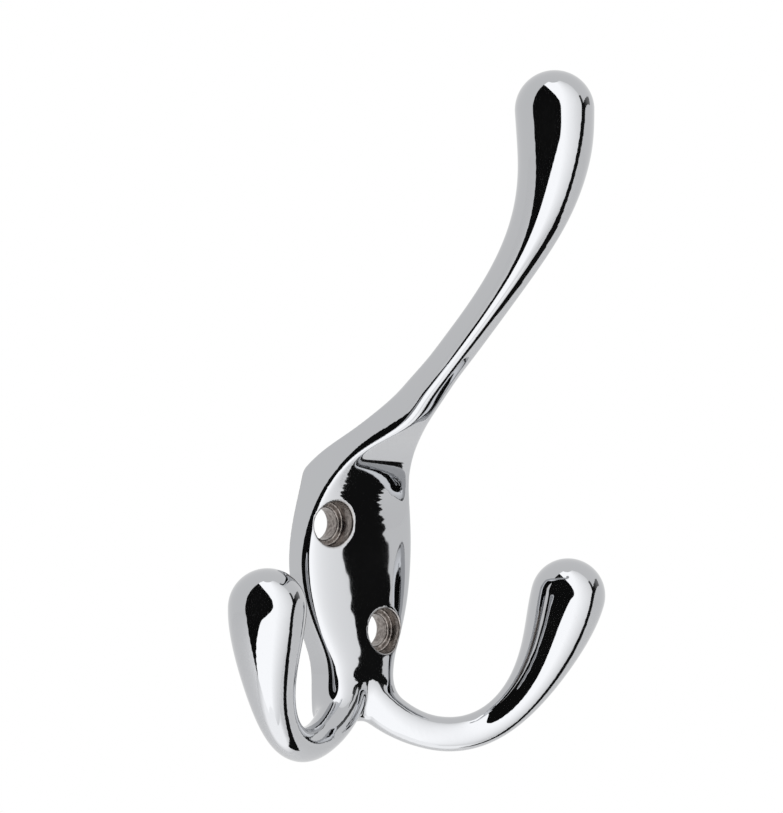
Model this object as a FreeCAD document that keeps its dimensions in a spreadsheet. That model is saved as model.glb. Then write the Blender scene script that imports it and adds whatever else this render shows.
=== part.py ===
import FreeCAD, Part
import Sketcher
import math
import os

Vector = FreeCAD.Vector
doc = FreeCAD.newDocument("robe_hook")

# Driving sizes in millimetres and degrees. The wall is the plane y = 0. "out" is the distance in front of
# the wall, "up" the height over the middle of the screw holes, "side" the distance from the middle plane.
sizes = {
    "ball_radius": 6.4,
    # Hat prong: four poles of its middle line, from the ball to the root, and its thickness.
    "hat_tip_out": 53.5,
    "hat_tip_up": 76.6,
    "hat_bend_out": 54.8,
    "hat_bend_up": 59.8,
    "hat_shank_out": 45.6,
    "hat_shank_up": 51.5,
    "hat_root_out": 17.8,
    "hat_root_up": 28.5,
    "hat_neck_radius": 2.6,
    "hat_neck_along": 50.0,
    "hat_flare_along": 18.0,
    "hat_root_radius": 3.35,
    "hat_neck_squareness": 3.4,
    # Robe prongs: four poles of the right one's middle line, from the ball to the root, and its thickness.
    "robe_tip_side": 32.9,
    "robe_tip_out": 20.8,
    "robe_tip_up": -3.5,
    "robe_bend_side": 26.9,
    "robe_bend_out": 11.0,
    "robe_bend_up": -44.0,
    "robe_shank_side": -2.9,
    "robe_shank_out": 4.2,
    "robe_shank_up": -21.7,
    "robe_root_side": 2.6,
    "robe_root_out": 1.6,
    "robe_root_up": -12.0,
    "robe_neck_radius": 2.95,
    "robe_neck_along": 37.0,
    "robe_flare_along": 16.0,
    "robe_root_radius": 4.3,
    "robe_neck_squareness": 2.0,
    # Sections of the plate, from the hat prong's root down to the fork of the robe prongs.
    "collar_out": 9.9,
    "collar_up": 22.2,
    "collar_lean": 44.0,
    "collar_half_width": 5.5,
    "collar_half_depth": 3.9,
    "collar_squareness": 4.5,
    "collar_crown": 0.0,
    "shoulder_out": 3.3,
    "shoulder_up": 16.0,
    "shoulder_lean": 26.0,
    "shoulder_half_width": 9.2,
    "shoulder_half_depth": 5.1,
    "shoulder_squareness": 6.0,
    "shoulder_crown": 0.0,
    "belly_up": 5.0,
    "belly_half_width": 11.75,
    "belly_half_depth": 5.9,
    "belly_squareness": 7.0,
    "belly_crown": 0.7,
    "waist_up": -9.5,
    "waist_half_width": 9.3,
    "waist_half_depth": 6.1,
    "waist_squareness": 7.0,
    "waist_crown": 0.5,
    "hip_up": -14.5,
    "hip_half_width": 7.5,
    "hip_half_depth": 6.6,
    "hip_squareness": 6.0,
    "hip_crown": 0.2,
    "fork_up": -19.6,
    "fork_half_width": 7.0,
    "fork_half_depth": 6.2,
    "fork_squareness": 4.0,
    "fork_crown": -1.5,
    "foot_up": -24.2,
    "foot_half_width": 6.2,
    "foot_half_depth": 4.6,
    "foot_squareness": 2.4,
    "foot_crown": -0.5,
    # Screw holes and the flat seats of the screw heads.
    "upper_hole_left": 6.6,
    "upper_hole_above": 9.2,
    "lower_hole_right": 4.4,
    "lower_hole_below": 9.2,
    "screw_hole_diameter": 5.5,
    "head_diameter": 7.6,
    "head_seat_out": 3.1,
}
sheet = doc.addObject("Spreadsheet::Sheet", "Sizes")
for row, (alias, value) in enumerate(sizes.items(), start=1):
    sheet.set(f"A{row}", alias)
    sheet.set(f"B{row}", str(value))
    sheet.setAlias(f"B{row}", alias)
doc.recompute()


def size(alias):
    return float(sheet.get(alias))


SIDEWAYS = Vector(1, 0, 0)
UPWARD = Vector(0, 0, 1)
ROUND_SECTION = 2
SECTION_POINTS = 36
JOIN_TOLERANCE = 0.0005


def section(name, centre, across, forward, half_width, half_depth, squareness, crown):
    """Closed curve: an ellipse at squareness 2, nearing an oblong above it. The crown lowers its sides."""
    points = []
    for k in range(SECTION_POINTS):
        turn = 2 * math.pi * (k + 0.5) / SECTION_POINTS - math.pi / 2
        side = math.cos(turn)
        depth = math.sin(turn)
        grow = (abs(side) ** squareness + abs(depth) ** squareness) ** (-1 / squareness)
        side = side * grow
        depth = depth * grow
        raised = (half_depth - crown * side ** 2) * depth
        points.append(centre + across * (half_width * side) + forward * raised)
    curve = Part.BSplineCurve()
    shares = [k / SECTION_POINTS for k in range(SECTION_POINTS + 1)]
    curve.interpolate(Points=points, PeriodicFlag=True, Parameters=shares)
    wire = doc.addObject("Part::Feature", name)
    wire.Shape = Part.Wire([curve.toShape()])
    return wire


def prong_radius(name, along):
    """Radius at a distance along a prong from the middle of its ball: swelling, neck and flare."""
    neck_radius = size(name + "_neck_radius")
    neck_along = size(name + "_neck_along")
    if along < neck_along:
        share = along / neck_along
        return neck_radius + (size("ball_radius") - neck_radius) * (1 - share) ** 4 * (1 + 4 * share)
    share = min(1, (along - neck_along) / size(name + "_flare_along"))
    return neck_radius + (size(name + "_root_radius") - neck_radius) * share ** 2 * (3 - 2 * share)


def prong_squareness(name, along):
    """Round at the ball, taking on the neck's flattened sides on the way to it."""
    share = min(1, along / size(name + "_neck_along"))
    return ROUND_SECTION + (size(name + "_neck_squareness") - ROUND_SECTION) * share ** 2 * (3 - 2 * share)


def prong_path(name, has_side):
    poles = []
    for pole in ("tip", "bend", "shank", "root"):
        side = size(f"{name}_{pole}_side") if has_side else 0
        poles.append(Vector(side, -size(f"{name}_{pole}_out"), size(f"{name}_{pole}_up")))
    path = Part.BezierCurve()
    path.setPoles(poles)
    return path


def prong_sections(name, path, broadside, count):
    sections = []
    for k in range(count + 1):
        along = path.length() * k / count
        share = path.parameterAtDistance(along, 0)
        direction = path.tangent(share)[0]
        across = (broadside - direction * broadside.dot(direction)).normalize()
        radius = prong_radius(name, along)
        sections.append(section(f"{name}_section_{k}", path.value(share), across, direction.cross(across),
                                radius, radius, prong_squareness(name, along), 0))
    return sections


def plate_section(name, out, lean):
    turn = math.radians(lean)
    forward = Vector(0, -math.cos(turn), -math.sin(turn))
    return section(name + "_section", Vector(0, -out, size(name + "_up")), SIDEWAYS, forward,
                   size(name + "_half_width"), size(name + "_half_depth"),
                   size(name + "_squareness"), size(name + "_crown"))


def loft(name, sections):
    solid = doc.addObject("Part::Loft", name)
    solid.Sections = sections
    solid.Solid = True
    return solid


def ball_end(name, path):
    """Half ball that closes a prong, standing on the prong's first section."""
    ball = doc.addObject("Part::Sphere", name)
    ball.setExpression("Radius", "Sizes.ball_radius")
    ball.Angle1 = 0
    ball.Placement = FreeCAD.Placement(path.value(0), FreeCAD.Rotation(UPWARD, path.tangent(0)[0] * -1))
    return ball


def joined(name, pieces):
    whole = doc.addObject("Part::Feature", name)
    whole.Shape = pieces[0].Shape.fuse([piece.Shape for piece in pieces[1:]], JOIN_TOLERANCE)
    return whole


# Hat prong and plate as one flowing form
hat_path = prong_path("hat", False)
stem_sections = prong_sections("hat", hat_path, SIDEWAYS, 12)
for name in ("collar", "shoulder"):
    stem_sections.append(plate_section(name, size(name + "_out"), size(name + "_lean")))
for name in ("belly", "waist", "hip", "fork", "foot"):
    stem_sections.append(plate_section(name, 0, 0))
stem_loft = loft("Stem", stem_sections)
hat_ball = ball_end("HatBall", hat_path)

# Right robe prong and its mirror image
robe_path = prong_path("robe", True)
robe_reach = Vector(size("robe_tip_side"), -size("robe_tip_out"), 0)
robe_loft = loft("RobeProng", prong_sections("robe", robe_path, UPWARD.cross(robe_reach), 14))
robe_ball = ball_end("RobeBall", robe_path)
doc.recompute()
stem = joined("StemWithBall", [stem_loft, hat_ball])
right_prong = joined("RightProng", [robe_loft, robe_ball])
left_prong = doc.addObject("Part::Mirroring", "LeftProng")
left_prong.Source = right_prong
left_prong.Normal = SIDEWAYS
doc.recompute()

# One casting, cut flat where it meets the wall
casting = doc.addObject("Part::MultiFuse", "Casting")
casting.Shapes = [stem, right_prong, left_prong]
wall = doc.addObject("Part::Box", "Wall")
wall.setExpression("Length", "4 * Sizes.robe_tip_side")
wall.setExpression("Width", "4 * Sizes.belly_half_depth")
wall.setExpression("Height", "4 * Sizes.hat_tip_up")
wall.setExpression("Placement.Base.x", "-2 * Sizes.robe_tip_side")
wall.setExpression("Placement.Base.z", "-2 * Sizes.hat_tip_up")
flat_back = doc.addObject("Part::Cut", "FlatBack")
flat_back.Base = casting
flat_back.Tool = wall
doc.recompute()

hook = doc.addObject("PartDesign::Body", "Hook")
hook.Label = "hook"
hook.BaseFeature = flat_back
doc.recompute()


def origin_plane(body, role):
    return next(item for item in body.Origin.OriginFeatures if item.Role == role)


def hole_sketch(name, diameter_alias):
    """Two circles on the wall plane, at the upper left and lower right screw holes."""
    sketch = hook.newObject("Sketcher::SketchObject", name)
    sketch.AttachmentSupport = [(origin_plane(hook, "XZ_Plane"), "")]
    sketch.MapMode = "FlatFace"
    radius = size(diameter_alias) / 2
    centres = (Vector(-size("upper_hole_left"), size("upper_hole_above"), 0),
               Vector(size("lower_hole_right"), -size("lower_hole_below"), 0))
    for centre in centres:
        sketch.addGeometry(Part.Circle(centre, UPWARD, radius))
    placing = (
        ("DistanceX", 0, 3, -1, 1, "upper_hole_left"),
        ("DistanceY", -1, 1, 0, 3, "upper_hole_above"),
        ("DistanceX", -1, 1, 1, 3, "lower_hole_right"),
        ("DistanceY", 1, 3, -1, 1, "lower_hole_below"),
    )
    for kind, first, first_end, second, second_end, alias in placing:
        distance = Sketcher.Constraint(kind, first, first_end, second, second_end, size(alias))
        at = sketch.addConstraint(distance)
        sketch.setExpression(f"Constraints[{at}]", "Sizes." + alias)
    for circle in range(len(centres)):
        at = sketch.addConstraint(Sketcher.Constraint("Diameter", circle, size(diameter_alias)))
        sketch.setExpression(f"Constraints[{at}]", "Sizes." + diameter_alias)
    return sketch


def outward_pocket(name, sketch):
    pocket = hook.newObject("PartDesign::Pocket", name)
    pocket.Profile = sketch
    pocket.Type = "ThroughAll"
    pocket.Reversed = True
    sketch.Visibility = False
    return pocket


screw_circles = hole_sketch("ScrewCircles", "screw_hole_diameter")
screw_holes = outward_pocket("ScrewHoles", screw_circles)
head_circles = hole_sketch("HeadCircles", "head_diameter")
head_circles.setExpression("AttachmentOffset.Base.z", "Sizes.head_seat_out")
head_seats = outward_pocket("HeadSeats", head_circles)
doc.recompute()

for item in doc.Objects:
    if "Invalid" in item.State or "Error" in item.State:
        raise RuntimeError("not rebuilt: " + item.Label)
if hook.Shape.isNull() or not hook.Shape.isValid() or len(hook.Shape.Solids) != 1:
    raise RuntimeError("not one sound solid: " + hook.Label)
os.makedirs("parts", exist_ok=True)
hook.Shape.exportStep(f"parts/{hook.Label}.step")
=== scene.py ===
import math

import bpy
import numpy as np
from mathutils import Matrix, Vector


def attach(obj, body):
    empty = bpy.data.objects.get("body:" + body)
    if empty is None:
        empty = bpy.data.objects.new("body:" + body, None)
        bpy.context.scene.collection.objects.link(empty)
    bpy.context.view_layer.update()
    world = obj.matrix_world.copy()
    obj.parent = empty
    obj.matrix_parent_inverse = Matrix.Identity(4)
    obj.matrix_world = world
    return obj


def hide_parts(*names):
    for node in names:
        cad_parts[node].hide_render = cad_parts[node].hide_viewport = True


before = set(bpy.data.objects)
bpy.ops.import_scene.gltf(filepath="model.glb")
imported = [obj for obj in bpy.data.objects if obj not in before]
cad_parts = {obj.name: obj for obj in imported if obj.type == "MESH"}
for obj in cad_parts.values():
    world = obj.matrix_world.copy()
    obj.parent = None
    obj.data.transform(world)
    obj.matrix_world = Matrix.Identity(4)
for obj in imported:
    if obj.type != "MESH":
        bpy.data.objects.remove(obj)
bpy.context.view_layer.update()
scene = bpy.context.scene
scene.view_settings.view_transform = "Standard"
MILLIMETRE = 0.001

# The casting's sizes in millimetres: side, out from the wall, up from the middle of the holes.
# The hat prong, the balls and the holes are those of the solid. The polished plate is slimmer at its
# shoulder and collar than the solid, and the robe prongs leave it a little lower.
BALL_RADIUS = 6.4
# Each prong's middle line is a Bezier curve from the middle of its ball to its root. Its radius narrows
# to the neck and flares again to the root, over these lengths along the prong.
HAT_POLES = np.array([(0, 53.5, 76.6), (0, 54.8, 59.8), (0, 45.6, 51.5), (0, 17.8, 28.5)])
HAT_THICKNESS = {"neck": 2.6, "neck_along": 50.0, "root": 3.35, "flare_along": 18.0}
HAT_NECK_SQUARENESS = 3.4
HAT_SECTIONS = 13
ROBE_POLES = np.array([(32.9, 20.8, -3.5), (26.9, 11.0, -44.0), (-2.6, 4.9, -22.2), (0.5, 0.0, -13.0)])
ROBE_THICKNESS = {"neck": 2.95, "neck_along": 37.0, "root": 3.7, "flare_along": 16.0}
ROUND_SECTION = 2.0
# Plate sections from collar to foot: out, up, lean in degrees, half width, half depth, squareness, crown.
PLATE_SECTIONS = np.array([
    (10.0, 22.85, 47.3, 6.4, 2.6, 9.0, 0.1),
    (2.4, 15.6, 10.8, 9.55, 4.85, 12.0, 0.45),
    (0.0, 5.0, 0.0, 12.0, 5.75, 7.0, 0.7),
    (0.0, -9.5, 0.0, 9.3, 6.1, 7.0, 0.5),
    (0.0, -14.5, 0.0, 7.5, 6.5, 6.0, 0.4),
    (0.0, -19.6, 0.0, 7.2, 6.2, 4.5, 0.0),
    (0.0, -24.6, 0.0, 6.8, 4.8, 3.0, 0.0)])
HOLES = ((-6.6, 9.2), (4.4, -9.2))
HOLE_RADIUS = 2.75
SEAT_RADIUS = 3.8
SEAT_OUT = 3.1

# How softly the polished casting blends where its forms meet.
CROTCH_BLEND = 0.6
JOINT_BLEND = 2.4
# Distances from the middle between which the tight blend of the crotch gives way to that of the joints.
CROTCH_SIDES = 2, 7
RIM_BLEND = 0.35
FOOT_BLEND = 2.0
BACK_BLEND = 0.5

# The block of space that is searched for the surface, and the distance between its grid points, which is
# halved round the screw holes.
LOW_CORNER = (-41.2, -1.3, -32.2)
HIGH_CORNER = (41.2, 61.5, 84.6)
PITCH = 0.5
NEAR_HOLES = ((-12.2, -2.2), (0.2, 9.8)), ((2.7, 6.7),), ((-13.6, -4.8), (4.8, 13.6))
FAR = 20.0

# How finely middle lines are followed, and how a first guess of the nearest place on them is improved.
LINE_POINTS = 401
COARSE_STEP = 8
STEM_PLACES = 1401
GUESS_ROUNDS = 4
LEAST_RISE = 0.2
# The front's crown falls off with the square of the share of the half width, up to this square.
CROWN_END = 1.5
# How the grid's points are moved onto the surface.
SETTLING_ROUNDS = 2
SLOPE_STEP = 0.02
LEAST_SLOPE = 0.05
LONGEST_SHIFT = 0.3
TINY = 1e-9

# Distances from a hole's wall and from the back over which polished metal gives way to bare metal.
BARE_BORE = 0.5, -0.1
BARE_BACK = 0.25, 0.05


def smooth_min(a, b, blend):
    near = np.maximum(blend - np.abs(a - b), 0) / blend
    return np.minimum(a, b) - near ** 2 * blend / 4


def smooth_max(a, b, blend):
    return -smooth_min(-a, -b, blend)


def mix_range(low, high, value):
    share = np.clip((value - low) / (high - low), 0, 1)
    return share ** 2 * (3 - 2 * share)


def bezier(poles, share):
    rest = 1 - share
    return np.stack([rest ** 3, 3 * rest ** 2 * share, 3 * rest * share ** 2, share ** 3], -1) @ poles


def bezier_slope(poles, share):
    rest = 1 - share
    return np.stack([rest ** 2, 2 * rest * share, share ** 2], -1) @ (3 * np.diff(poles, axis=0))


def lengths_along(points):
    return np.concatenate([[0], np.cumsum(np.linalg.norm(np.diff(points, axis=0), axis=1))])


class Prong:
    """A round bar on a curved middle line, with a ball at its start."""

    def __init__(self, poles, thickness):
        self.poles = poles
        self.thickness = thickness
        self.shares = np.linspace(0, 1, LINE_POINTS)
        self.line = bezier(poles, self.shares)
        self.lengths = lengths_along(self.line)

    def radius(self, along):
        neck = self.thickness["neck"]
        swell = np.clip(along / self.thickness["neck_along"], 0, 1)
        flare = np.clip((along - self.thickness["neck_along"]) / self.thickness["flare_along"], 0, 1)
        return (neck + (BALL_RADIUS - neck) * (1 - swell) ** 4 * (1 + 4 * swell)
                + (self.thickness["root"] - neck) * flare ** 2 * (3 - 2 * flare))

    def gap(self, points):
        """Distance of points from the bar's surface, negative inside it."""
        nearest = np.full(len(points), np.inf)
        share = np.zeros(len(points))
        for start, spot in zip(self.shares[::COARSE_STEP], self.line[::COARSE_STEP]):
            distance = ((points - spot) ** 2).sum(1)
            closer = distance < nearest
            nearest[closer] = distance[closer]
            share[closer] = start
        for _ in range(GUESS_ROUNDS):
            slope = bezier_slope(self.poles, share)
            ahead = ((points - bezier(self.poles, share)) * slope).sum(1)
            share = np.clip(share + ahead / (slope ** 2).sum(1), 0, 1)
        offset = np.linalg.norm(points - bezier(self.poles, share), axis=1)
        return offset - self.radius(np.interp(share, self.shares, self.lengths))


def natural_spline(knots, values, where):
    """Smooth curve through the rows of values at the knots."""
    last = len(knots) - 1
    steps = np.diff(knots)[:, None]
    slopes = np.diff(values, axis=0) / steps
    system = np.eye(len(knots))
    right = np.zeros_like(values)
    for k in range(1, last):
        before, after = steps[k - 1, 0], steps[k, 0]
        system[k, k - 1:k + 2] = before, 2 * (before + after), after
        right[k] = 6 * (slopes[k] - slopes[k - 1])
    bends = np.linalg.solve(system, right)
    k = np.clip(np.searchsorted(knots, where) - 1, 0, last - 1)
    left = (knots[k + 1] - where)[:, None]
    passed = (where - knots[k])[:, None]
    step = steps[k]
    return ((bends[k] * left ** 3 + bends[k + 1] * passed ** 3) / (6 * step)
            + (values[k] / step - bends[k] * step / 6) * left
            + (values[k + 1] / step - bends[k + 1] * step / 6) * passed)


class Stem:
    """The hat prong and the plate as one form, flowing through a row of sections."""

    def __init__(self):
        hat = Prong(HAT_POLES, HAT_THICKNESS)
        along = np.linspace(0, hat.lengths[-1], HAT_SECTIONS)
        share = np.interp(along, hat.lengths, hat.shares)
        middle = bezier(HAT_POLES, share)[:, 1:]
        slope = bezier_slope(HAT_POLES, share)[:, 1:]
        lean = np.degrees(np.arctan2(-slope[:, 0], -slope[:, 1]))
        radius = hat.radius(along)
        flattening = mix_range(0, HAT_THICKNESS["neck_along"], along)
        squareness = ROUND_SECTION + (HAT_NECK_SQUARENESS - ROUND_SECTION) * flattening
        rows = np.column_stack([middle, lean, radius, radius, squareness, np.zeros(HAT_SECTIONS)])
        rows = np.concatenate([rows, PLATE_SECTIONS])
        knots = lengths_along(rows[:, :2])
        self.places = np.linspace(0, knots[-1], STEM_PLACES)
        self.rows = natural_spline(knots, rows, self.places)
        self.foot_up = PLATE_SECTIONS[-1, 1]

    def row(self, place):
        return [np.interp(place, self.places, column) for column in self.rows.T]

    def ahead(self, out, up, place):
        """How far points lie beyond the section plane at a place along the stem."""
        middle_out, middle_up, lean = self.row(place)[:3]
        lean = np.radians(lean)
        return -(out - middle_out) * np.sin(lean) - (up - middle_up) * np.cos(lean)

    def locate(self, out, up):
        """Place along the stem whose section plane holds each point, or the nearer end."""
        nearest = np.full(out.shape, np.inf)
        place = np.zeros(out.shape)
        past = np.ones(out.shape)
        for k, (middle_out, middle_up, lean) in enumerate(self.rows[:, :3]):
            lean = math.radians(lean)
            ahead = -(out - middle_out) * math.sin(lean) - (up - middle_up) * math.cos(lean)
            distance = (out - middle_out) ** 2 + (up - middle_up) ** 2
            crossing = (past >= 0) & (ahead < 0)
            if k == len(self.places) - 1:
                crossing |= ahead >= 0
            taken = crossing & (distance < nearest)
            nearest[taken] = distance[taken]
            place[taken] = self.places[k]
            past = ahead
        return place

    def refine(self, out, up, place):
        """Places along the stem brought closer to the section planes that hold the points."""
        small = self.places[1]
        for _ in range(GUESS_ROUNDS):
            rise = (self.ahead(out, up, place + small) - self.ahead(out, up, place - small)) / (2 * small)
            place = place - self.ahead(out, up, place) / np.minimum(rise, -LEAST_RISE)
            place = np.clip(place, 0, self.places[-1])
        return place

    def gap(self, side, out, up, place):
        """Distance of points from the stem's surface, negative inside it."""
        middle_out, middle_up, lean, half_width, half_depth, squareness, crown = self.row(place)
        lean = np.radians(lean)
        forward = (out - middle_out) * np.cos(lean) - (up - middle_up) * np.sin(lean)
        across = np.abs(side) / half_width + TINY
        bulge = np.minimum(across ** 2, CROWN_END)
        depth = half_depth - crown * bulge
        deep = np.abs(forward) / depth + TINY
        power = np.maximum(squareness, ROUND_SECTION)
        level = (across ** power + deep ** power) ** (1 / power)
        by_across = (across / level) ** (power - 1)
        by_deep = (deep / level) ** (power - 1)
        crown_slope = 2 * crown * across * deep / depth * (bulge < CROWN_END)
        steepness = np.hypot((by_across + by_deep * crown_slope) / half_width, by_deep / depth)
        gap = smooth_max((level - 1) / steepness, self.foot_up - up, FOOT_BLEND)
        before_ball = np.minimum(self.ahead(out, up, place), 0)
        ball = np.sqrt(side ** 2 + forward ** 2 + before_ball ** 2) - BALL_RADIUS
        return np.where(place <= 0, ball, gap)


def hole_gap(side, out, up):
    """Distance from the nearer screw hole and its head seat, negative inside them."""
    gap = np.inf
    for hole_side, hole_up in HOLES:
        radial = np.hypot(side - hole_side, up - hole_up)
        seat = np.maximum(radial - SEAT_RADIUS, SEAT_OUT - out)
        gap = np.minimum(gap, np.minimum(radial - HOLE_RADIUS, seat))
    return gap


def grid_lines(low, high, fine_ranges):
    """Even steps from low to high, halved in the fine ranges."""
    lines = np.arange(low, high, PITCH)
    middles = lines + PITCH / 2
    for start, stop in fine_ranges:
        lines = np.concatenate([lines, middles[(middles > start) & (middles < stop)]])
    return np.sort(lines)


class Casting:
    """The stem with a robe prong on each side, its screw holes cut and its back flat on the wall."""

    def __init__(self):
        self.stem = Stem()
        self.robe = Prong(ROBE_POLES, ROBE_THICKNESS)
        self.axes = [grid_lines(*limits) for limits in zip(LOW_CORNER, HIGH_CORNER, NEAR_HOLES)]
        self.plane = np.meshgrid(self.axes[1], self.axes[2], indexing="ij")
        self.places = self.stem.locate(*self.plane)
        rows = self.plane[0].ravel(), self.plane[1].ravel()
        self.places = self.stem.refine(*rows, self.places.ravel()).reshape(self.places.shape)

    def joined(self, stem_gap, robe_gap, side, out, up):
        """Distance from the whole casting, from the distances of its stem and its prongs."""
        blend = CROTCH_BLEND + (JOINT_BLEND - CROTCH_BLEND) * mix_range(*CROTCH_SIDES, np.abs(side))
        gap = smooth_min(stem_gap, robe_gap, blend)
        gap = smooth_max(gap, -hole_gap(side, out, up), RIM_BLEND)
        return smooth_max(gap, -out, BACK_BLEND)

    def grid(self):
        """Distances at all grid points. The robe prongs are measured only in the block that they reach."""
        side, out, up = self.axes
        outs = np.searchsorted(out, ROBE_POLES[:, 1].max() + BALL_RADIUS + JOINT_BLEND)
        ups = np.searchsorted(up, ROBE_POLES[:, 2].max() + BALL_RADIUS + JOINT_BLEND)
        block = np.stack(np.meshgrid(np.abs(side), out[:outs], up[:ups], indexing="ij"), -1)
        robe_gap = np.full([len(axis) for axis in self.axes], FAR)
        robe_gap[:, :outs, :ups] = self.robe.gap(block.reshape(-1, 3)).reshape(block.shape[:3])
        values = np.empty_like(robe_gap)
        for k, x in enumerate(side):
            stem_gap = self.stem.gap(x, *self.plane, self.places)
            values[k] = self.joined(stem_gap, robe_gap[k], x, *self.plane)
        return values

    def gap(self, points):
        """Distance of points from the casting's surface, negative inside it."""
        side, out, up = points.T
        near = np.searchsorted(self.axes[1], out), np.searchsorted(self.axes[2], up)
        place = self.stem.refine(out, up, self.places[near])
        folded = np.column_stack([np.abs(side), out, up])
        return self.joined(self.stem.gap(side, out, up, place), self.robe.gap(folded), side, out, up)

    def settled(self, points):
        """Points moved onto the surface."""
        for _ in range(SETTLING_ROUNDS):
            slope = np.stack([(self.gap(points + step) - self.gap(points - step)) / (2 * SLOPE_STEP)
                              for step in SLOPE_STEP * np.eye(3)], 1)
            shift = self.gap(points)[:, None] * slope / np.maximum((slope ** 2).sum(1), LEAST_SLOPE)[:, None]
            length = np.maximum(np.linalg.norm(shift, axis=1, keepdims=True), TINY)
            points = points - shift * np.minimum(1, LONGEST_SHIFT / length)
        return points


def surface_of(values, axes):
    """Corners and four-sided faces of the surface where the values on a grid pass zero."""
    cells = tuple(count - 1 for count in values.shape)
    inside = values < 0
    total = np.zeros(cells + (3,))
    crossings = np.zeros(cells, int)
    halves = slice(None, -1), slice(1, None)
    for axis in range(3):
        first, second = (axis + 1) % 3, (axis + 2) % 3
        for i in range(2):
            for j in range(2):
                start = [None, None, None]
                start[axis], start[first], start[second] = halves[0], halves[i], halves[j]
                stop = list(start)
                stop[axis] = halves[1]
                near, far = values[tuple(start)], values[tuple(stop)]
                crossing = (near < 0) != (far < 0)
                total[..., axis] += np.where(crossing, near / np.where(crossing, near - far, 1), 0)
                total[..., first] += crossing * i
                total[..., second] += crossing * j
                crossings += crossing
    active = crossings > 0
    number = np.full(cells, -1)
    number[active] = np.arange(active.sum())
    points = np.argwhere(active) + total[active] / crossings[active][:, None]
    faces = []
    for axis in range(3):
        first, second = (axis + 1) % 3, (axis + 2) % 3
        start = [slice(None)] * 3
        stop = [slice(None)] * 3
        start[axis], stop[axis] = halves
        edges = np.argwhere(inside[tuple(start)] != inside[tuple(stop)])
        leaving = inside[tuple(edges.T)]
        corners = []
        for i, j in ((1, 1), (0, 1), (0, 0), (1, 0)):
            cell = edges.copy()
            cell[:, first] -= i
            cell[:, second] -= j
            corners.append(number[tuple(cell.T)])
        quads = np.stack(corners, 1)
        quads[leaving] = quads[leaving][:, ::-1]
        faces.append(quads)
    places = [np.interp(points[:, k], np.arange(len(axis)), axis) for k, axis in enumerate(axes)]
    return np.column_stack(places), np.concatenate(faces)


casting = Casting()
spots, quads = surface_of(casting.grid(), casting.axes)
spots = casting.settled(spots)
hook_mesh = bpy.data.meshes.new("polished_hook")
hook_mesh.from_pydata(spots * (MILLIMETRE, -MILLIMETRE, MILLIMETRE), [], quads)
hook_mesh.polygons.foreach_set("use_smooth", np.ones(len(quads), bool))
# Bare is 1 in the screw holes and on the back, which the polishing wheel does not reach.
bore = mix_range(*BARE_BORE, hole_gap(*spots.T))
back = mix_range(*BARE_BACK, spots[:, 1])
bare = hook_mesh.attributes.new("bare", "FLOAT", "POINT")
bare.data.foreach_set("value", np.maximum(bore, back))
hook = bpy.data.objects.new("polished_hook", hook_mesh)
scene.collection.objects.link(hook)
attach(hook, "root")
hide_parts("hook")

# Camera: level with the hook, to its left, seen through a long lens.
CAMERA_AZIMUTH = math.radians(-40)
CAMERA_DISTANCE = 0.695
CAMERA_AIM = Vector((0.01071, 0, 0.029))
CAMERA_LENS = 178.5


def towards(azimuth, elevation=0.0):
    """Direction from the hook, with azimuth 0 straight out from the wall and positive to the right."""
    return Vector((math.sin(azimuth) * math.cos(elevation), -math.cos(azimuth) * math.cos(elevation),
                   math.sin(elevation)))


camera = bpy.data.objects.new("camera", bpy.data.cameras.new("camera"))
scene.collection.objects.link(camera)
camera.data.lens = CAMERA_LENS
camera.location = CAMERA_AIM + towards(CAMERA_AZIMUTH) * CAMERA_DISTANCE
camera.rotation_euler = (math.radians(90), 0, CAMERA_AZIMUTH)
scene.camera = camera


def new_material(name):
    material = bpy.data.materials.new(name)
    material.use_nodes = True
    material.node_tree.nodes.clear()
    return material, material.node_tree


# World: an even pale studio, seen as plain white behind the hook.
STUDIO_LEVEL = 0.86
WHITE_LEVEL = 1.0
world = bpy.data.worlds.new("studio")
scene.world = world
world.use_nodes = True
world.node_tree.nodes.clear()
world_out = world.node_tree.nodes.new("ShaderNodeOutputWorld")
sky = world.node_tree.nodes.new("ShaderNodeBackground")
sky.inputs["Color"].default_value = (1, 1, 1, 1)
seen = world.node_tree.nodes.new("ShaderNodeLightPath")
strength = world.node_tree.nodes.new("ShaderNodeMapRange")
strength.inputs["To Min"].default_value = STUDIO_LEVEL
strength.inputs["To Max"].default_value = WHITE_LEVEL
world.node_tree.links.new(seen.outputs["Is Camera Ray"], strength.inputs["Value"])
world.node_tree.links.new(strength.outputs["Result"], sky.inputs["Strength"])
world.node_tree.links.new(sky.outputs[0], world_out.inputs["Surface"])


def card(name, radius, outline, level, rows=60, steps=30):
    """A curved card round the hook, which only the metal sees. For shares across and up the card, outline
    gives azimuth and elevation in degrees, and level its brightness."""
    points = []
    levels = []
    for row in range(rows + 1):
        for step in range(steps + 1):
            azimuth, elevation = outline(step / steps, row / rows)
            points.append(towards(math.radians(azimuth), math.radians(elevation)) * radius)
            levels.append(level(step / steps, row / rows))
    faces = []
    for row in range(rows):
        for step in range(steps):
            corner = row * (steps + 1) + step
            faces.append((corner, corner + 1, corner + steps + 2, corner + steps + 1))
    mesh = bpy.data.meshes.new(name)
    mesh.from_pydata(points, [], faces)
    mesh.attributes.new("level", "FLOAT", "POINT").data.foreach_set("value", levels)
    material, tree = new_material(name)
    shade = tree.nodes.new("ShaderNodeAttribute")
    shade.attribute_name = "level"
    glow = tree.nodes.new("ShaderNodeEmission")
    tree.links.new(shade.outputs["Fac"], glow.inputs["Strength"])
    out = tree.nodes.new("ShaderNodeOutputMaterial")
    tree.links.new(glow.outputs[0], out.inputs["Surface"])
    mesh.materials.append(material)
    piece = bpy.data.objects.new(name, mesh)
    scene.collection.objects.link(piece)
    piece.visible_camera = False
    piece.visible_shadow = False


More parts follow.
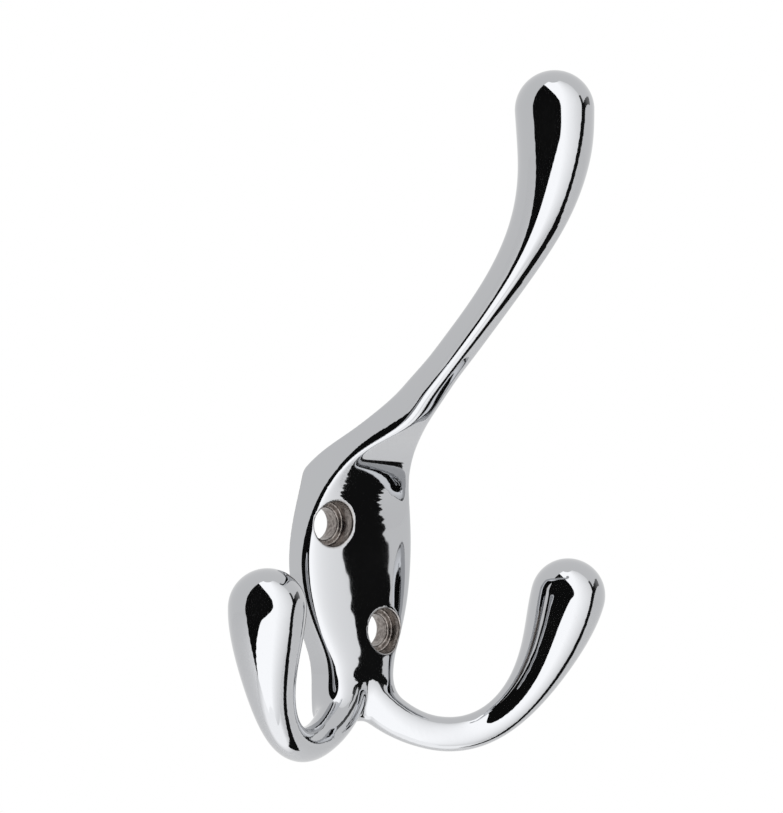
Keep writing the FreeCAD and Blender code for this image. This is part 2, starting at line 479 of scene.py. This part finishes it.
def between(low, high, share):
    return low + (high - low) * share


def beyond(start, end, share):
    """0 up to the start, then rising evenly to 1 at the end."""
    return max(0, (share - start) / (end - start))


# White card in front of the hook, from far left to right of the middle, where it dims.
SOFT_BOX_LEFT, SOFT_BOX_RIGHT = -105, 42
SOFT_BOX_LOW, SOFT_BOX_HIGH = -80, 80
SOFT_BOX_LEVEL = 1.7
SOFT_BOX_DIMMING = 0.62
SOFT_BOX_DIMS_FROM = 0.62


def soft_box(across, up):
    return between(SOFT_BOX_LEFT, SOFT_BOX_RIGHT, across), between(SOFT_BOX_LOW, SOFT_BOX_HIGH, up)


def soft_box_level(across, up):
    return SOFT_BOX_LEVEL - SOFT_BOX_DIMMING * beyond(SOFT_BOX_DIMS_FROM, 1, across)


# White card all round below the hook, dimming towards its rim.
SOFT_FLOOR_LOW, SOFT_FLOOR_HIGH = -89, -58
SOFT_FLOOR_LEVEL = 1.5
SOFT_FLOOR_DIMMING = 0.6
SOFT_FLOOR_DIMS_FROM = 0.6


def soft_floor(across, up):
    return between(-180, 180, across), between(SOFT_FLOOR_LOW, SOFT_FLOOR_HIGH, up)


def soft_floor_level(across, up):
    return SOFT_FLOOR_LEVEL - SOFT_FLOOR_DIMMING * beyond(SOFT_FLOOR_DIMS_FROM, 1, up)


# Black card on the left, round above and drawn out to a tip below: the long black streaks of the prongs.
DARK_SIDE_LEFT = -105
DARK_SIDE_WIDTH = 83
DARK_SIDE_MIDDLE = 5
DARK_SIDE_BELOW, DARK_SIDE_ABOVE = 66, 63
DARK_SIDE_LOW, DARK_SIDE_HIGH = -61, 68
DARK_SIDE_TAPER = 1.5
BLACK_LEVEL = 0.006


def dark_side(across, up):
    elevation = between(DARK_SIDE_LOW, DARK_SIDE_HIGH, up)
    below = max(0, (DARK_SIDE_MIDDLE - elevation) / DARK_SIDE_BELOW)
    above = max(0, (elevation - DARK_SIDE_MIDDLE) / DARK_SIDE_ABOVE)
    width = DARK_SIDE_WIDTH * (1 - below ** DARK_SIDE_TAPER) * math.sqrt(1 - above ** 2)
    return DARK_SIDE_LEFT + width * across, elevation


def black(across, up):
    return BLACK_LEVEL


# Black open ring on the right with torn edges: the dark band down the plate. It turns from its top over
# its left side to below, where it grows thicker and swings out. Each tear is a height in degrees and the
# rates of two waves.
RING_AZIMUTH, RING_ELEVATION = 71, -12
RING_START, RING_END = 70, 298
RING_REACH = 26
RING_THICKNESS = 11.5
RING_SWELL = 12
RING_SWELL_TURN = 0.5
RING_SWING = 24
RING_SWING_TURN = 4.7
COARSE_TEAR = 0.8, 37, 11
FINE_TEAR = 0.3, 91, 23
RING_LEVEL = 0.008
RING_START_LEVEL = 0.25
RING_ROWS = 600


def dark_ring(across, up):
    turn = math.radians(between(RING_START, RING_END, up))
    thickness = RING_THICKNESS + RING_SWELL * max(0, -math.sin(turn - RING_SWELL_TURN)) ** 4
    height, fast, slow = COARSE_TEAR
    ragged = height * math.sin(fast * turn) * math.sin(slow * turn + 1)
    height, fast, slow = FINE_TEAR
    ragged += height * math.sin(fast * turn) * math.sin(slow * turn)
    swing = RING_SWING * max(0, turn - RING_SWING_TURN)
    reach = RING_REACH + thickness * across + swing + ragged * abs(2 * across - 1)
    return RING_AZIMUTH + reach * math.cos(turn), RING_ELEVATION + reach * math.sin(turn)


def dark_ring_level(across, up):
    """Dark grey at the start of the ring, soon black."""
    return RING_START_LEVEL * max(0, 1 - 4 * up) + RING_LEVEL


# Narrow black card right of the middle, above the level of the hook, torn to grey towards its top.
STRIP_LEFT, STRIP_RIGHT = 40, 48
STRIP_LOW, STRIP_HIGH = 4, 34
STRIP_LEVEL = 0.008
STRIP_TEAR_LEVEL = 0.7
STRIP_TEARS_FROM = 0.35


def dark_strip(across, up):
    return between(STRIP_LEFT, STRIP_RIGHT, across), between(STRIP_LOW, STRIP_HIGH, up)


def dark_strip_level(across, up):
    tears = max(0, math.sin(14 * across + 5 * up) * math.sin(31 * up + 4 * across))
    return STRIP_LEVEL + STRIP_TEAR_LEVEL * tears * max(0, up - STRIP_TEARS_FROM)


card("soft_box", 1.05, soft_box, soft_box_level)
card("soft_floor", 1.06, soft_floor, soft_floor_level)
card("dark_side", 1.0, dark_side, black)
card("dark_ring", 0.95, dark_ring, dark_ring_level, rows=RING_ROWS)
card("dark_strip", 0.9, dark_strip, dark_strip_level)

# Floor, pale and far below.
FLOOR_UP = -1.15
FLOOR_REACH = 6.0
FLOOR_SHADE = (0.86, 0.86, 0.86, 1)
FLOOR_GLOW = 0.1
floor_corners = [(-FLOOR_REACH, -FLOOR_REACH, FLOOR_UP), (FLOOR_REACH, -FLOOR_REACH, FLOOR_UP),
                 (FLOOR_REACH, FLOOR_REACH, FLOOR_UP), (-FLOOR_REACH, FLOOR_REACH, FLOOR_UP)]
floor_mesh = bpy.data.meshes.new("floor")
floor_mesh.from_pydata(floor_corners, [], [(0, 1, 2, 3)])
floor_material, tree = new_material("floor")
pale = tree.nodes.new("ShaderNodeBsdfDiffuse")
pale.inputs["Color"].default_value = FLOOR_SHADE
seen = tree.nodes.new("ShaderNodeLightPath")
either = tree.nodes.new("ShaderNodeMath")
either.operation = "MAXIMUM"
tree.links.new(seen.outputs["Is Camera Ray"], either.inputs[0])
tree.links.new(seen.outputs["Is Glossy Ray"], either.inputs[1])
lift = tree.nodes.new("ShaderNodeMath")
lift.operation = "MULTIPLY"
lift.inputs[1].default_value = FLOOR_GLOW
tree.links.new(either.outputs[0], lift.inputs[0])
glow = tree.nodes.new("ShaderNodeEmission")
tree.links.new(lift.outputs[0], glow.inputs["Strength"])
both = tree.nodes.new("ShaderNodeAddShader")
tree.links.new(pale.outputs[0], both.inputs[0])
tree.links.new(glow.outputs[0], both.inputs[1])
out = tree.nodes.new("ShaderNodeOutputMaterial")
tree.links.new(both.outputs[0], out.inputs["Surface"])
floor_mesh.materials.append(floor_material)
floor = bpy.data.objects.new("floor", floor_mesh)
scene.collection.objects.link(floor)

# Chrome plate: mirror bright with a faint ripple, duller and warmer where it is bare of polish.
POLISHED_TONE = (0.545, 0.553, 0.57, 1)
DARK_BARE_TONE = (0.1, 0.08, 0.07, 1)
LIGHT_BARE_TONE = (0.36, 0.325, 0.3, 1)
LEAST_ROUGHNESS, MOST_ROUGHNESS = 0.02, 0.05
BARE_ROUGHNESS = 0.26
NOISE_LOW, NOISE_HIGH = 0.3, 0.7
GRAIN_SCALE, GRAIN_DETAIL, GRAIN_HEIGHT = 1800, 4, 0.00006
RIPPLE_SCALE, RIPPLE_DETAIL, RIPPLE_HEIGHT = 110, 1, 0.00003


def noise(tree, place, scale, detail):
    """Noise fixed to the object."""
    texture = tree.nodes.new("ShaderNodeTexNoise")
    texture.inputs["Scale"].default_value = scale
    texture.inputs["Detail"].default_value = detail
    tree.links.new(place.outputs["Object"], texture.inputs["Vector"])
    return texture


chrome, tree = new_material("chrome")
nodes = tree.nodes
out = nodes.new("ShaderNodeOutputMaterial")
metal = nodes.new("ShaderNodeBsdfPrincipled")
metal.inputs["Metallic"].default_value = 1.0
tree.links.new(metal.outputs[0], out.inputs["Surface"])
place = nodes.new("ShaderNodeTexCoord")
unpolished = nodes.new("ShaderNodeAttribute")
unpolished.attribute_name = "bare"
grain = noise(tree, place, GRAIN_SCALE, GRAIN_DETAIL)
ripple = noise(tree, place, RIPPLE_SCALE, RIPPLE_DETAIL)
dull = nodes.new("ShaderNodeValToRGB")
dull.color_ramp.elements[0].position = NOISE_LOW
dull.color_ramp.elements[0].color = DARK_BARE_TONE
dull.color_ramp.elements[1].position = NOISE_HIGH
dull.color_ramp.elements[1].color = LIGHT_BARE_TONE
tree.links.new(grain.outputs["Fac"], dull.inputs["Fac"])
tone = nodes.new("ShaderNodeMix")
tone.data_type = "RGBA"
tone.inputs["A"].default_value = POLISHED_TONE
tree.links.new(unpolished.outputs["Fac"], tone.inputs["Factor"])
tree.links.new(dull.outputs["Color"], tone.inputs["B"])
tree.links.new(tone.outputs["Result"], metal.inputs["Base Color"])
gloss = nodes.new("ShaderNodeMapRange")
gloss.inputs["From Min"].default_value = NOISE_LOW
gloss.inputs["From Max"].default_value = NOISE_HIGH
gloss.inputs["To Min"].default_value = LEAST_ROUGHNESS
gloss.inputs["To Max"].default_value = MOST_ROUGHNESS
tree.links.new(ripple.outputs["Fac"], gloss.inputs["Value"])
rough = nodes.new("ShaderNodeMix")
rough.inputs["B"].default_value = BARE_ROUGHNESS
tree.links.new(unpolished.outputs["Fac"], rough.inputs["Factor"])
tree.links.new(gloss.outputs["Result"], rough.inputs["A"])
tree.links.new(rough.outputs["Result"], metal.inputs["Roughness"])
wave = nodes.new("ShaderNodeBump")
wave.inputs["Strength"].default_value = 1.0
wave.inputs["Distance"].default_value = RIPPLE_HEIGHT
tree.links.new(ripple.outputs["Fac"], wave.inputs["Height"])
pitted = nodes.new("ShaderNodeBump")
pitted.inputs["Distance"].default_value = GRAIN_HEIGHT
tree.links.new(unpolished.outputs["Fac"], pitted.inputs["Strength"])
tree.links.new(grain.outputs["Fac"], pitted.inputs["Height"])
tree.links.new(wave.outputs["Normal"], pitted.inputs["Normal"])
tree.links.new(pitted.outputs["Normal"], metal.inputs["Normal"])
hook_mesh.materials.append(chrome)
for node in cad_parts.values():
    node.data.materials.clear()
    node.data.materials.append(chrome)
